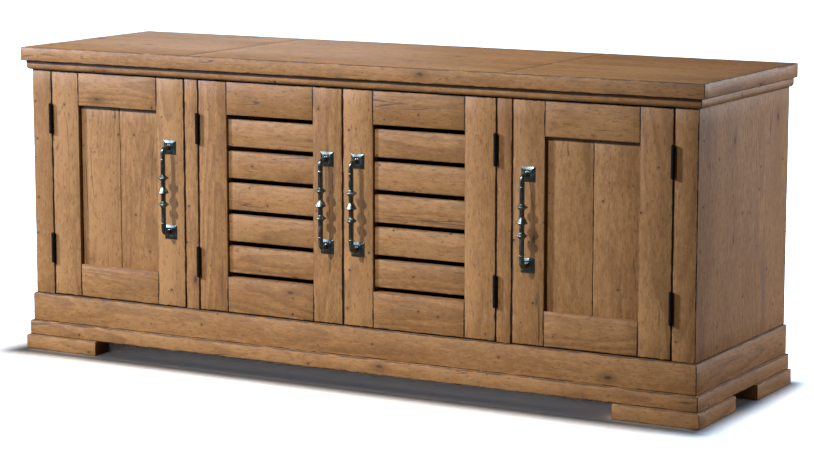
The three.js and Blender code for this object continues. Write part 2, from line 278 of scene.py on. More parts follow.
def timber_group():
    """Figure of a board: growth rings, fibre, mottle, checks, worm holes and smudges."""
    found = bpy.data.node_groups.get("Timber figure")
    if found:
        return found
    colour, number, vector = "NodeSocketColor", "NodeSocketFloat", "NodeSocketVector"
    tree, given, out = new_group(
        "Timber figure",
        [("Grain", vector, (0, 0, 0)), ("Tone", number, 0.0), ("Ring Spacing", number, 0.008),
         ("Light", colour, (1, 1, 1, 1)), ("Middle", colour, (1, 1, 1, 1)),
         ("Late", colour, (1, 1, 1, 1)), ("Glaze", colour, (1, 1, 1, 1)),
         ("Smudge", colour, (1, 1, 1, 1)), ("Warm", colour, (1, 1, 1, 1)),
         ("Smudge Amount", number, 0.5), ("Smudge Size", number, 1.0)],
        [("Color", colour), ("Dull", number), ("Height", number)])
    grain = given["Grain"]
    along, across, through = add_node(tree, "ShaderNodeSeparateXYZ", {0: grain}).outputs

    # rings: cones round the pith, so that flat faces show arches
    around = add_node(tree, "ShaderNodeCombineXYZ", {"Y": across, "Z": through}).outputs[0]
    radius = vector_node(tree, "LENGTH", around)
    warp = math_node(tree, "MULTIPLY", noise_value(tree, grain, (2.2, 10, 10), 3.0), 0.034)
    taper = math_node(tree, "MULTIPLY", along, 0.030)
    depth = math_node(tree, "ADD", math_node(tree, "ADD", radius, warp), taper)
    turns = math_node(tree, "FRACT", math_node(tree, "DIVIDE", depth, given["Ring Spacing"]))
    rise = ramp_value(tree, turns, 0.20, 0.88)
    fall = ramp_value(tree, turns, 0.88, 1.0, 1.0, 0.0)
    patch = ramp_value(tree, noise_value(tree, grain, (2.1, 9, 9), 2.0, shift=4.7), 0.42, 0.62)
    late = math_node(tree, "MULTIPLY", math_node(tree, "MULTIPLY", rise, fall), patch)

    broad = noise_value(tree, grain, (2.6, 9, 9), 3.0, shift=1.9)
    cloudy = noise_value(tree, grain, (42, 110, 110), 5.0, 0.68, shift=8.1)
    fibre = noise_value(tree, grain, (9, 420, 420), 3.0, 0.6)
    pores = ramp_value(tree, noise_value(tree, grain, (110, 620, 620), 3.0, 0.6, shift=2.2),
                       0.54, 0.70)
    flecks = ramp_value(tree, noise_value(tree, grain, (60, 200, 200), 2.0, 0.55, shift=9.6),
                        0.58, 0.69)
    pale = ramp_value(tree, noise_value(tree, grain, (120, 260, 260), 2.0, 0.6, shift=15.2),
                      0.58, 0.70)
    warm = ramp_value(tree, noise_value(tree, grain, (14, 60, 60), 3.0, 0.6, shift=12.4), 0.55, 0.75)

    # checks: thin cracks along the grain, in a few places
    wave = noise_value(tree, grain, (2.6, 46, 46), 1.0, shift=5.5)
    line = ramp_value(tree, math_node(tree, "ABSOLUTE", math_node(tree, "SUBTRACT", wave, 0.5)),
                      0.004, 0.016, 1.0, 0.0)
    where = ramp_value(tree, noise_value(tree, grain, (3.2, 24, 24), 1.0, shift=7.3), 0.60, 0.67)
    checks = math_node(tree, "MULTIPLY", line, where)

    # worm holes: a few of the cells of a coarse lattice hold one, each of its own size
    cells = add_node(tree, "ShaderNodeTexVoronoi", {"Vector": grain, "Scale": 21.0},
                     voronoi_dimensions="2D")
    pick = add_node(tree, "ShaderNodeSeparateColor", {0: cells.outputs["Color"]}).outputs
    chosen = ramp_value(tree, pick[0], 0.78, 0.80)
    size = ramp_value(tree, pick[1], 0.0, 1.0, 0.018, 0.055)
    near = math_node(tree, "DIVIDE", cells.outputs["Distance"], size)
    holes = math_node(tree, "MULTIPLY", ramp_value(tree, near, 0.7, 1.1, 1.0, 0.0), chosen)
    halo = math_node(tree, "MULTIPLY", ramp_value(tree, near, 1.0, 3.2, 0.45, 0.0), chosen)
    sized = vector_node(tree, "DIVIDE", grain, add_node(
        tree, "ShaderNodeCombineXYZ", {i: given["Smudge Size"] for i in range(3)}).outputs[0])
    smear = ramp_value(tree, noise_value(tree, sized, (7.0, 30, 30), 4.0, shift=3.1), 0.55, 0.78)

    # knots: fewer still, drawn out along the grain, with a dark eye in a stained surround
    drawn = vector_node(tree, "MULTIPLY", grain, (2.6, 5.2, 2.6))
    eyes = add_node(tree, "ShaderNodeTexVoronoi", {"Vector": drawn, "Scale": 1.0},
                    voronoi_dimensions="2D")
    eye_pick = add_node(tree, "ShaderNodeSeparateColor", {0: eyes.outputs["Color"]}).outputs
    ragged = math_node(tree, "ADD", eyes.outputs["Distance"],
                       math_node(tree, "MULTIPLY", math_node(tree, "SUBTRACT", cloudy, 0.5), 0.06))
    has_eye = ramp_value(tree, eye_pick[0], 0.72, 0.74)
    eye = math_node(tree, "MULTIPLY", ramp_value(tree, ragged, 0.012, 0.030, 1.0, 0.0), has_eye)
    stain = math_node(tree, "MULTIPLY", ramp_value(tree, ragged, 0.02, 0.11, 0.6, 0.0), has_eye)

    tint = math_node(tree, "ADD", math_node(tree, "MULTIPLY", broad, 0.8),
                     math_node(tree, "MULTIPLY", cloudy, 1.3))
    tint = math_node(tree, "ADD", tint, math_node(tree, "MULTIPLY", given["Tone"], -0.35))
    tint = math_node(tree, "ADD", tint, math_node(tree, "MULTIPLY", fibre, 0.5))
    shade = ramp_value(tree, tint, 1.04, 1.56)
    body = mix_colour(tree, shade, given["Light"], given["Middle"])
    body = mix_colour(tree, math_node(tree, "MULTIPLY", warm, 0.35), body, given["Warm"])
    body = mix_colour(tree, math_node(tree, "MULTIPLY", late, 0.46), body, given["Late"])
    smudges = math_node(tree, "MULTIPLY", smear, given["Smudge Amount"])
    body = mix_colour(tree, smudges, body, given["Smudge"])
    body = mix_colour(tree, math_node(tree, "MULTIPLY", pores, 0.42), body, given["Late"])
    body = mix_colour(tree, math_node(tree, "MULTIPLY", flecks, 0.62), body, given["Late"])
    body = mix_colour(tree, math_node(tree, "MULTIPLY", pale, 0.35), body, given["Light"])
    body = mix_colour(tree, math_node(tree, "MAXIMUM", halo, stain), body, given["Late"])
    marks = math_node(tree, "MAXIMUM", math_node(tree, "MULTIPLY", checks, 0.62), holes)
    marks = math_node(tree, "MAXIMUM", marks, math_node(tree, "MULTIPLY", eye, 0.8))
    body = mix_colour(tree, marks, body, given["Glaze"])

    height = math_node(tree, "MULTIPLY", fibre, 0.35)
    height = math_node(tree, "SUBTRACT", height, math_node(tree, "MULTIPLY", late, 0.12))
    height = math_node(tree, "SUBTRACT", height, math_node(tree, "MULTIPLY", pores, 0.25))
    height = math_node(tree, "ADD", height, math_node(tree, "MULTIPLY", cloudy, 0.6))
    height = math_node(tree, "SUBTRACT", height, math_node(tree, "MULTIPLY", marks, 1.6))

    tree.links.new(body, out["Color"])
    tree.links.new(math_node(tree, "ADD", math_node(tree, "MULTIPLY", cloudy, 0.5),
                             math_node(tree, "MULTIPLY", marks, 0.5), clamp=True), out["Dull"])
    tree.links.new(height, out["Height"])
    return tree


def arris_group():
    """A mask that is one on the arrises of a board and breaks up where they are worn. It is partly real
    dark glaze and partly painted shade, widened so that lines along gaps and joints stand in for their
    shade.
    """
    found = bpy.data.node_groups.get("Arris glaze")
    if found:
        return found
    tree, given, out = new_group(
        "Arris glaze",
        [("Place", "NodeSocketVector", (0, 0, 0)), ("Half", "NodeSocketVector", (1, 1, 1)),
         ("Grain", "NodeSocketVector", (0, 0, 0)), ("Width", "NodeSocketFloat", 0.002)],
        [("Mask", "NodeSocketFloat")])
    inset = vector_node(tree, "SUBTRACT", given["Half"], vector_node(tree, "ABSOLUTE", given["Place"]))
    a, b, c = add_node(tree, "ShaderNodeSeparateXYZ", {0: inset}).outputs
    lesser = math_node(tree, "MINIMUM", a, b)
    greater = math_node(tree, "MAXIMUM", a, b)
    second = math_node(tree, "MAXIMUM", lesser, math_node(tree, "MINIMUM", greater, c))
    ragged = noise_value(tree, given["Grain"], (26, 90, 90), 3.0, 0.6, shift=6.4)
    reach = math_node(tree, "MULTIPLY", given["Width"], ramp_value(tree, ragged, 0.30, 0.62, 0.25, 1.3))
    share = math_node(tree, "DIVIDE", second, reach)
    mask = ramp_value(tree, share, 0.55, 1.0, 1.0, 0.0)
    tree.links.new(mask, out["Mask"])
    return tree


def forged_group():
    """Hammered skin of the ironwork, with a pale bloom in patches."""
    found = bpy.data.node_groups.get("Forged skin")
    if found:
        return found
    tree, given, out = new_group(
        "Forged skin",
        [("Place", "NodeSocketVector", (0, 0, 0)), ("Bloom", "NodeSocketFloat", 0.5)],
        [("Patina", "NodeSocketFloat"), ("Dull", "NodeSocketFloat"), ("Height", "NodeSocketFloat")])
    place = given["Place"]
    dents = add_node(tree, "ShaderNodeTexVoronoi", {"Vector": place, "Scale": 210.0},
                     feature="SMOOTH_F1").outputs["Distance"]
    grit = noise_value(tree, place, (900, 900, 900), 2.0)
    cloud = noise_value(tree, place, (130, 130, 70), 4.0, 0.65, shift=3.0)
    patches = ramp_value(tree, cloud, 0.46, 0.70)
    tree.links.new(math_node(tree, "MULTIPLY", patches, given["Bloom"]), out["Patina"])
    tree.links.new(math_node(tree, "ADD", math_node(tree, "MULTIPLY", patches, 0.6),
                             math_node(tree, "MULTIPLY", grit, 0.4)), out["Dull"])
    tree.links.new(math_node(tree, "ADD", dents, math_node(tree, "MULTIPLY", grit, 0.25)),
                   out["Height"])
    return tree


# ---------------------------------------------------------------- materials

def surface(name):
    """A new material with an empty Principled surface, as (material, tree, shader)."""
    material = bpy.data.materials.new(name)
    material.use_nodes = True
    tree = material.node_tree
    return material, tree, tree.nodes["Principled BSDF"]


def bump(tree, shader, height, distance, strength):
    node = add_node(tree, "ShaderNodeBump",
                    {"Height": height, "Distance": distance, "Strength": strength})
    tree.links.new(node.outputs[0], shader.inputs["Normal"])


def attribute(tree, name):
    return add_node(tree, "ShaderNodeAttribute", attribute_name=name).outputs["Vector"]


def stained_wood(name, light, middle, late, smudge, warm, glaze_and_shade_width, rough,
                 smudge_amount=0.45, smudge_size=1.0):
    """Stained and glazed wood that follows the grain stored on each board; its arrises and its faces that
    look into recesses are darkened with painted shade.
    """
    material, tree, shader = surface(name)
    grain = attribute(tree, "grain")
    board_data = add_node(tree, "ShaderNodeSeparateXYZ", {0: attribute(tree, "board")}).outputs
    tone, soot, outlined = board_data
    figure = add_node(tree, "ShaderNodeGroup", node_tree=timber_group())
    arris = add_node(tree, "ShaderNodeGroup", node_tree=arris_group())
    glaze_and_shade = opaque(colours().glaze_and_shade)
    for label, value in (("Light", light), ("Middle", middle), ("Late", late), ("Smudge", smudge)):
        figure.inputs[label].default_value = opaque(value)
    figure.inputs["Glaze"].default_value = glaze_and_shade
    figure.inputs["Warm"].default_value = opaque(warm)
    figure.inputs["Smudge Amount"].default_value = smudge_amount
    figure.inputs["Smudge Size"].default_value = smudge_size
    arris.inputs["Width"].default_value = glaze_and_shade_width
    tree.links.new(grain, figure.inputs["Grain"])
    tree.links.new(tone, figure.inputs["Tone"])
    tree.links.new(grain, arris.inputs["Grain"])
    tree.links.new(attribute(tree, "place"), arris.inputs["Place"])
    tree.links.new(attribute(tree, "half"), arris.inputs["Half"])
    # painted shade: the arris mask, darkest along the gaps, and the faces looking into recesses take the
    # dark glaze colour; the arris lines are partly real glaze.
    lines = math_node(tree, "MULTIPLY", arris.outputs["Mask"], outlined)
    arris_glaze_and_shade = math_node(tree, "MAXIMUM", lines, math_node(tree, "MULTIPLY", soot, 0.7))
    colour = mix_colour(tree, arris_glaze_and_shade, figure.outputs["Color"], glaze_and_shade)
    tree.links.new(colour, shader.inputs["Base Color"])
    tree.links.new(ramp_value(tree, figure.outputs["Dull"], 0.0, 1.0, rough - 0.06, rough + 0.22),
                   shader.inputs["Roughness"])
    bump(tree, shader, figure.outputs["Height"], 0.5 * MM, 0.55)
    return material


def show_wood():
    c = colours()
    # The wide 2.6 mm dark arrises also paint the shade lines at joints, such as where the top meets the
    # cornice.
    return bpy.data.materials.get("Show wood") or stained_wood(
        "Show wood", c.light, c.middle, c.late, c.smudge, c.warm, 2.6 * MM, 0.50)


def side_wood():
    """The ends of the cabinet: wide boards with blue-grey mineral streaks."""
    c = colours()
    return bpy.data.materials.get("Side wood") or stained_wood(
        "Side wood", c.light, c.middle, c.late, c.mineral, c.warm, 2.3 * MM, 0.62,
        smudge_amount=0.7, smudge_size=2.2)


def panel_wood():
    c = colours()
    darker = [0.93 * channel for channel in c.middle]
    return bpy.data.materials.get("Panel wood") or stained_wood(
        "Panel wood", c.light, darker, c.late, c.smudge, c.warm, 1.6 * MM, 0.50)


def inside_wood():
    c = colours()
    deep = [0.6 * channel for channel in c.inside]
    return bpy.data.materials.get("Inside wood") or stained_wood(
        "Inside wood", c.inside, deep, c.glaze_and_shade, deep, deep, 1.0 * MM, 0.66)


def ironwork(name, dark, bloom, rough, metallic, gloss=0.5):
    """Iron with a hammered skin. bloom is how much pale patina it carries."""
    found = bpy.data.materials.get(name)
    if found:
        return found
    material, tree, shader = surface(name)
    place = add_node(tree, "ShaderNodeTexCoord").outputs["Object"]
    skin = add_node(tree, "ShaderNodeGroup", {"Place": place, "Bloom": bloom},
                    node_tree=forged_group())
    c = colours()
    colour = mix_colour(tree, skin.outputs["Patina"], opaque(dark), opaque(c.verdigris))
    tree.links.new(colour, shader.inputs["Base Color"])
    tree.links.new(ramp_value(tree, skin.outputs["Dull"], 0.1, 0.9, rough - 0.08, rough + 0.2),
                   shader.inputs["Roughness"])
    shader.inputs["Metallic"].default_value = metallic
    shader.inputs["Specular IOR Level"].default_value = gloss
    bump(tree, shader, skin.outputs["Height"], 0.3 * MM, 0.18)
    return material


def forged_iron():
    return ironwork("Forged iron", colours().iron, 0.14, 0.36, 1.0)


def weathered_iron():
    return ironwork("Weathered iron", colours().iron, 1.0, 0.40, 1.0)


def black_iron():
    return ironwork("Black iron", (0.004, 0.005, 0.006), 0.004, 0.6, 0.0, gloss=0.2)


def bright_steel():
    """Zinc-plated steel of the pins, screws and strike plates."""
    found = bpy.data.materials.get("Bright steel")
    if found:
        return found
    material, tree, shader = surface("Bright steel")
    place = add_node(tree, "ShaderNodeTexCoord").outputs["Object"]
    haze = noise_value(tree, place, (400, 400, 400), 3.0)
    tree.links.new(mix_colour(tree, haze, opaque((0.50, 0.50, 0.49)), opaque((0.62, 0.62, 0.60))),
                   shader.inputs["Base Color"])
    tree.links.new(ramp_value(tree, haze, 0.2, 0.8, 0.28, 0.45), shader.inputs["Roughness"])
    shader.inputs["Metallic"].default_value = 1.0
    return material


# ---------------------------------------------------------------- mesh helpers

def finish_piece(name, bm, material, body, replaced=(), smooth_below=25.0):
    """Makes the mesh an object, with its place in the mesh, riding on a body."""
    mesh = bpy.data.meshes.new(name)
    bm.to_mesh(mesh)
    bm.free()
    mesh.materials.append(material)
    mesh.shade_smooth()
    mesh.set_sharp_from_angle(angle=math.radians(smooth_below))
    piece = bpy.data.objects.new(name, mesh)
    bpy.context.scene.collection.objects.link(piece)
    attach(piece, body)
    if replaced:
        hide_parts(*replaced)
    return piece


def in_space(axis, a, b, c):
    """The point at c along axis, and at a and b along the two axes that follow it in turn."""
    point = [0.0, 0.0, 0.0]
    point[axis] = c
    point[(axis + 1) % 3] = a
    point[(axis + 2) % 3] = b
    return Vector(point)


def extrude_section(section, axis, start, end):
    """A bar with that section, given as (a, b) points as in in_space, from start to end."""
    bm = bmesh.new()
    corners = [bm.verts.new(in_space(axis, a, b, start)) for a, b in section]
    face = bm.faces.new(corners)
    made = bmesh.ops.extrude_face_region(bm, geom=[face])["geom"]
    moved = [v for v in made if isinstance(v, bmesh.types.BMVert)]
    bmesh.ops.translate(bm, verts=moved, vec=in_space(axis, 0, 0, end - start))
    bmesh.ops.recalc_face_normals(bm, faces=bm.faces)
    return bm


def box_section(low, high, axis):
    a, b = (axis + 1) % 3, (axis + 2) % 3
    return [(low[a], low[b]), (high[a], low[b]), (high[a], high[b]), (low[a], high[b])]


def saw(bm, point, normal, keep_both=False):
    """Cuts the mesh with a plane. The side that the normal points to falls away and the cut is
    filled, unless both sides are kept as one."""
    geometry = bm.verts[:] + bm.edges[:] + bm.faces[:]
    made = bmesh.ops.bisect_plane(bm, geom=geometry, dist=1e-7, plane_co=point, plane_no=normal,
                                  clear_outer=not keep_both)
    if not keep_both:
        rim = [e for e in made["geom_cut"] if isinstance(e, bmesh.types.BMEdge)]
        bmesh.ops.edgeloop_fill(bm, edges=rim)
        bmesh.ops.recalc_face_normals(bm, faces=bm.faces)


def extents(bm):
    low = Vector([min(v.co[i] for v in bm.verts) for i in range(3)])
    high = Vector([max(v.co[i] for v in bm.verts) for i in range(3)])
    return low, high


def ease_and_wear(bm, low, high, ease, wander, seed):
    """Rounds the sharp arrises, and lets them wander inwards a little, as old edges do."""
    sharp = [e for e in bm.edges if len(e.link_faces) == 2 and e.calc_face_angle() > math.radians(20)]
    bmesh.ops.bevel(bm, geom=sharp, offset=ease, offset_type="OFFSET", segments=2, profile=0.5,
                    affect="EDGES", material=-1, clamp_overlap=True)
    middle = (low + high) / 2
    for v in bm.verts:
        amount = noise.noise(v.co * 21.0 + Vector((seed, 0, 0)))
        pull = wander * max(0.0, amount)
        for i in range(3):
            if abs(v.co[i] - middle[i]) > (high[i] - low[i]) / 2 - 2.5 * ease:
                v.co[i] -= math.copysign(pull, v.co[i] - middle[i])


def grain_data(mesh, low, high, along, across, staves, tone, soot, outline, outer, rng):
    """Stores on each face corner where it lies in its board and in the tree the board came from."""
    outer = [Vector(way) for way in outer]
    through = 3 - along - across
    order = (along, across, through)
    middle = (low + high) / 2
    half = (high - low) / 2
    wide = half[across] * 2 / staves
    trees = []
    for _ in range(staves):
        pith = rng.uniform(0.025, 0.11) * rng.choice((-1, 1))
        trees.append((Vector((rng.uniform(0, 30), rng.uniform(-0.3, 0.3) * wide, pith)),
                      tone + rng.uniform(-0.35, 0.35), rng.choice((-1, 1))))
    values = {name: [] for name in ("grain", "place", "half", "board")}
    for polygon in mesh.polygons:
        offset = polygon.center[across] - low[across]
        index = min(staves - 1, max(0, int(offset / wide)))
        tree, board_tone, way = trees[index]
        stave_middle = low[across] + wide * (index + 0.5) - middle[across]
        # painted shade: faces looking along the shade direction, and at 0.6 those looking out to the gaps,
        # are darkened.
        painted_shade_amount = max([0.0, polygon.normal.dot(Vector(soot))]
                     + [0.6 * polygon.normal.dot(way) for way in outer])
        for loop in polygon.loop_indices:
            local = mesh.vertices[mesh.loops[loop].vertex_index].co - middle
            place = Vector([local[i] for i in order])
            grain = Vector((way * place.x, place.y - stave_middle, place.z)) + tree
            values["grain"].extend(grain)
            values["place"].extend(place)
            values["half"].extend([half[i] for i in order])
            # arrises by the outer sides, along the gaps, take the darkest outline: painted shade.
            at_gap = any(local.dot(way) > 0.8 * sum(abs(h * w) for h, w in zip(half, way))
                         for way in outer)
            values["board"].extend((board_tone, painted_shade_amount, 1.0 if at_gap else outline))
    for name, data in values.items():
        mesh.attributes.new(name, "FLOAT_VECTOR", "CORNER").data.foreach_set("vector", data)


def board(name, bm, along, across, body, replaced=(), wood=show_wood, slot="show_wood",
          staves=1, tone=0.0, ease=None, soot=(0, 0, 0), outline=0.6, outer=()):
    """Finishes a plain solid as a board. along and across are its grain and its wide direction,
    painted shade darkens the faces that look along the given shade direction, as much as it is long,
    and outline is how dark its arrises are, but for those on the outer sides, which are darkest: painted
    shade along the gaps."""
    s = sizes()
    rng = random.Random(name)
    low, high = extents(bm)
    steps = max(1, round((high[along] - low[along]) / s.wander_step))
    for i in range(1, steps):
        cut = in_space(along, 0, 0, low[along] + (high[along] - low[along]) * i / steps)
        saw(bm, cut, in_space(along, 0, 0, 1), keep_both=True)
    for i in range(1, staves):
        cut = in_space(across, 0, 0, low[across] + (high[across] - low[across]) * i / staves)
        saw(bm, cut, in_space(across, 0, 0, 1), keep_both=True)
    ease_and_wear(bm, low, high, s.ease if ease is None else ease, s.wander, rng.uniform(0, 50))
    piece = finish_piece(name, bm, wood(), body, replaced)
    grain_data(piece.data, low, high, along, across, staves, tone, soot, outline, outer, rng)
    return piece


def plain_board(name, low, high, along, across, body, **options):
    bm = extrude_section(box_section(low, high, along), along, low[along], high[along])
    return board(name, bm, along, across, body, **options)


def node_board(node, along, across, body="root", **options):
    """A board that fills the box of the node that it stands for."""
    low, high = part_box(node)
    return plain_board(f"{node}_timber", low, high, along, across, body, replaced=(node,), **options)


def spun(profile, centre, axis=Z, steps=32):
    """A solid turned from (radius, height) points, round an axis through centre."""
    bm = bmesh.new()
    verts = [bm.verts.new((radius, 0, height)) for radius, height in profile]
    edges = [bm.edges.new(pair) for pair in zip(verts, verts[1:])]
    bmesh.ops.spin(bm, geom=verts + edges, cent=(0, 0, 0), axis=(0, 0, 1), angle=2 * math.pi,
                   steps=steps, use_merge=True)
    bmesh.ops.remove_doubles(bm, verts=bm.verts, dist=1e-6)
    bmesh.ops.recalc_face_normals(bm, faces=bm.faces)
    turn = {X: Matrix.Rotation(math.pi / 2, 4, "Y"), Y: Matrix.Rotation(math.pi / 2, 4, "X"),
            Z: Matrix.Identity(4)}[axis]
    bmesh.ops.transform(bm, matrix=Matrix.Translation(centre) @ turn, verts=bm.verts)
    return bm


def block(low, high, ease=0.0):
    """A box between two corners, with its edges rounded if ease is given."""
    low, high = Vector(low), Vector(high)
    bm = bmesh.new()
    size = high - low
    place = Matrix.Translation((low + high) / 2) @ Matrix.Diagonal((*size, 1.0))
    bmesh.ops.create_cube(bm, size=1.0, matrix=place)
    if ease:
        bmesh.ops.bevel(bm, geom=bm.edges[:], offset=ease, offset_type="OFFSET", segments=2,
                        profile=0.5, affect="EDGES", material=-1, clamp_overlap=True)
    return bm


def join(*parts):
    """One bmesh with the faces of all parts."""
    whole = bmesh.new()
    for part in parts:
        mesh = bpy.data.meshes.new("part")
        part.to_mesh(mesh)
        part.free()
        whole.from_mesh(mesh)
        bpy.data.meshes.remove(mesh)
    return whole


# ---------------------------------------------------------------- cabinet

def doors():
    """Each door as (name, hinge axis, hand): hand is +1 where the hinges are on its left."""
    for joint in frame["joints"]:
        yield joint["child"], Vector(joint["pos_m"]), -joint["axis"][2]


class CABINET_OT_top(bpy.types.Operator):
    """Three wide boards, with a mitred strip along the front and the ends"""

    bl_idname = "cabinet.top"
    bl_label = "Top"

    def execute(self, context):
        lip = sizes().lipping
        seam = 0.15 * MM
        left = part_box("top_board_left")[0]
        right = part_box("top_board_right")[1]
        for side in ("left", "center", "right"):
            low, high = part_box(f"top_board_{side}")
            low.y += lip + seam
            low.x = max(low.x, left.x + lip + seam)
            high.x = min(high.x, right.x - lip - seam)
            plain_board(f"top_board_{side}_timber", low, high, X, Y, "root",
                        replaced=(f"top_board_{side}",), staves=4, ease=1.3 * MM, outline=0.95)
        mitred_frame("top_lipping", left, right, lip, "root", ease=1.6 * MM, outline=0.8)
        return {"FINISHED"}


def mitred_frame(name, low, high, wide, body, section=None, **options):
    """Boards along the front, the left and the right of a box, mitred at the front corners.
    section gives the outline seen from the end, as (distance inwards, height)."""
    section = section or [(0, low.z), (wide, low.z), (wide, high.z), (0, high.z)]
    front = extrude_section([(low.y + d, z) for d, z in section], X, low.x, high.x)
    saw(front, Vector((low.x, low.y, 0)), Vector((-1, 1, 0)))
    saw(front, Vector((high.x, low.y, 0)), Vector((1, 1, 0)))
    made = [board(f"{name}_front", front, X, Z, body, **options)]
    later = {key: value for key, value in options.items() if key != "replaced"}
    for side, x, sign in (("left", low.x, 1), ("right", high.x, -1)):
        bar = extrude_section([(z, x + sign * d) for d, z in section], Y, low.y, high.y)
        saw(bar, Vector((x, low.y, 0)), Vector((sign, -1, 0)))
        made.append(board(f"{name}_{side}", bar, Y, Z, body, **later))
    return made


class CABINET_OT_cornice(bpy.types.Operator):
    """A moulding with a round lower edge on three sides, and the board inside it"""

    bl_idname = "cabinet.cornice"
    bl_label = "Cornice"

    def execute(self, context):
        s = sizes()
        low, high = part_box("cornice_board")
        wide, round_off = s.moulding_wide, s.moulding_round
        arc = [(round_off * (1 - math.cos(t)), low.z + round_off * (1 - math.sin(t)))
               for t in (math.radians(a) for a in (0, 18, 36, 54, 72, 90))]
        section = [(0, high.z), *arc, (wide, low.z), (wide, high.z)]
        mitred_frame("cornice", low, high, wide, "root", section=section,
                     replaced=("cornice_board",), ease=0.8 * MM, outline=0.65)
        inner = 0.2 * MM
        plain_board("cornice_subtop", Vector((low.x + wide + inner, low.y + wide + inner, low.z)),
                    Vector((high.x - wide - inner, high.y, high.z)), X, Y, "root",
                    wood=inside_wood, slot="inside_wood", staves=3)
        return {"FINISHED"}


class CABINET_OT_case(bpy.types.Operator):
    """Sides, face stiles, partitions, bottom and back"""

    bl_idname = "cabinet.case"
    bl_label = "Case"

    def execute(self, context):
        for side, sign in (("left", -1), ("right", 1)):
            self.corner(side, sign)
            self.partition(f"partition_{side}")
        inside = {"wood": inside_wood, "slot": "inside_wood"}
        node_board("bottom_board", X, Y, staves=4, **inside)
        self.back(inside)
        return {"FINISHED"}

    def corner(self, side, sign):
        """A side and its face stile, mitred so that their joint lies on the corner."""
        seam = 0.1 * MM
        stile, panel = f"face_stile_{side}", f"side_panel_{side}"
        stile_low, stile_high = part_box(stile)
        panel_low, panel_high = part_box(panel)
        panel_low.y = stile_low.y
        corner = Vector((stile_high.x if sign > 0 else stile_low.x, stile_low.y, 0))
        away = Vector((sign, 1, 0))
        for node, low, high, across, way, wood in ((stile, stile_low, stile_high, X, 1, show_wood),
                                                   (panel, panel_low, panel_high, Y, -1, side_wood)):
            bm = extrude_section(box_section(low, high, Z), Z, low.z, high.z)
            saw(bm, corner - away * way * seam, away * way)
            board(f"{node}_timber", bm, Z, across, "root", replaced=(node,), wood=wood, outline=0.95)

    def partition(self, node):
        """An upright division, with a solid strip along its front edge."""
        strip, seam = 22 * MM, 0.1 * MM
        low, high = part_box(node)
        plain_board(f"{node}_timber", Vector((low.x, low.y + strip + seam, low.z)), high, Z, Y, "root",
                    replaced=(node,), staves=5)
        plain_board(f"{node}_edge", low, Vector((high.x, low.y + strip, high.z)), Z, X, "root",
                    outline=1.0)

    def back(self, inside):
        """A thin panel with a round hole behind each compartment, where its node has one."""
        low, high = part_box("back_panel")
        openings = frame["record"]["physics"]["openings"]
        boxes = [o["box_m"] for o in openings if o["name"].endswith("cable_hole")]
        bm = extrude_section(box_section(low, high, X), X, low.x, high.x)
        panel = board("back_panel_timber", bm, X, Z, "root", replaced=("back_panel",), staves=2,
                      ease=0.8 * MM, **inside)
        radius = 30 * MM
        for corner_a, corner_b in boxes:
            centre = (Vector(corner_a) + Vector(corner_b)) / 2
            drill = bmesh.new()
            bmesh.ops.create_cone(drill, cap_ends=True, segments=48, radius1=radius, radius2=radius,
                                  depth=40 * MM,
                                  matrix=Matrix.Translation(centre) @ Matrix.Rotation(math.pi / 2, 4, "X"))
            cutter_mesh = bpy.data.meshes.new("drill")
            drill.to_mesh(cutter_mesh)
            drill.free()
            cutter = bpy.data.objects.new("drill", cutter_mesh)
            bpy.context.scene.collection.objects.link(cutter)
            cut = panel.modifiers.new("cable hole", "BOOLEAN")
            cut.operation, cut.solver, cut.object = "DIFFERENCE", "EXACT", cutter
            apply_modifiers(panel)
            bpy.data.objects.remove(cutter)


def apply_modifiers(piece):
    depsgraph = bpy.context.evaluated_depsgraph_get()
    mesh = bpy.data.meshes.new_from_object(piece.evaluated_get(depsgraph))
    piece.modifiers.clear()
    piece.data = mesh


class CABINET_OT_shelves(bpy.types.Operator):
    """A shelf in each compartment, on four pins"""

    bl_idname = "cabinet.shelves"
    bl_label = "Shelves"

    def execute(self, context):
        for side in ("left", "center", "right"):
            node = f"shelf_{side}"
            node_board(node, X, Y, wood=inside_wood, slot="inside_wood", staves=3)
            low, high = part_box(node)
            pins = []
            radius, length, inset = 2.5 * MM, 8 * MM, 60 * MM
            for x, sign in ((low.x, 1), (high.x, -1)):
                for y in (low.y + inset, high.y - inset):
                    centre = Vector((x + sign * (length / 2 - 0.2 * MM), y, low.z - radius - 0.1 * MM))
                    profile = [(0, -length / 2), (radius, -length / 2), (radius, length / 2 - 0.5 * MM),
                               (radius - 0.5 * MM, length / 2), (0, length / 2)]
                    pins.append(spun(profile, centre, axis=X, steps=16))
            finish_piece(f"{node}_pins", join(*pins), bright_steel(), "root",
                         smooth_below=40)
        return {"FINISHED"}


class CABINET_OT_plinth(bpy.types.Operator):
    """An upper board and a lower moulding on each side, mitred at the front"""

    bl_idname = "cabinet.plinth"
    bl_label = "Plinth"

    def execute(self, context):
        s = sizes()
        low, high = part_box("plinth")
        step, back = s.plinth_step, s.plinth_back
        bottom_low, bottom_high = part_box("bottom_board")
        wall = bottom_low.y - low.y - 0.3 * MM
        mitred_frame("plinth_lower", low, Vector((high.x, high.y, step)), wall, "root",
                     replaced=("plinth",), outline=0.9)
        upper_low = Vector((low.x + back, low.y + back, step + 0.2 * MM))
        # painted shade: the upward faces of the upper board, where the case sits on it, are darkened.
        mitred_frame("plinth_upper", upper_low, Vector((high.x - back, high.y, high.z)),
                     wall - back, "root", outline=0.9, soot=(0, 0, 0.6))
        inner = low.x + wall + 0.3 * MM
        plain_board("plinth_rear", Vector((inner, bottom_high.y + 0.3 * MM, low.z)),
                    Vector((-inner, high.y, high.z)), X, Z, "root")
        return {"FINISHED"}


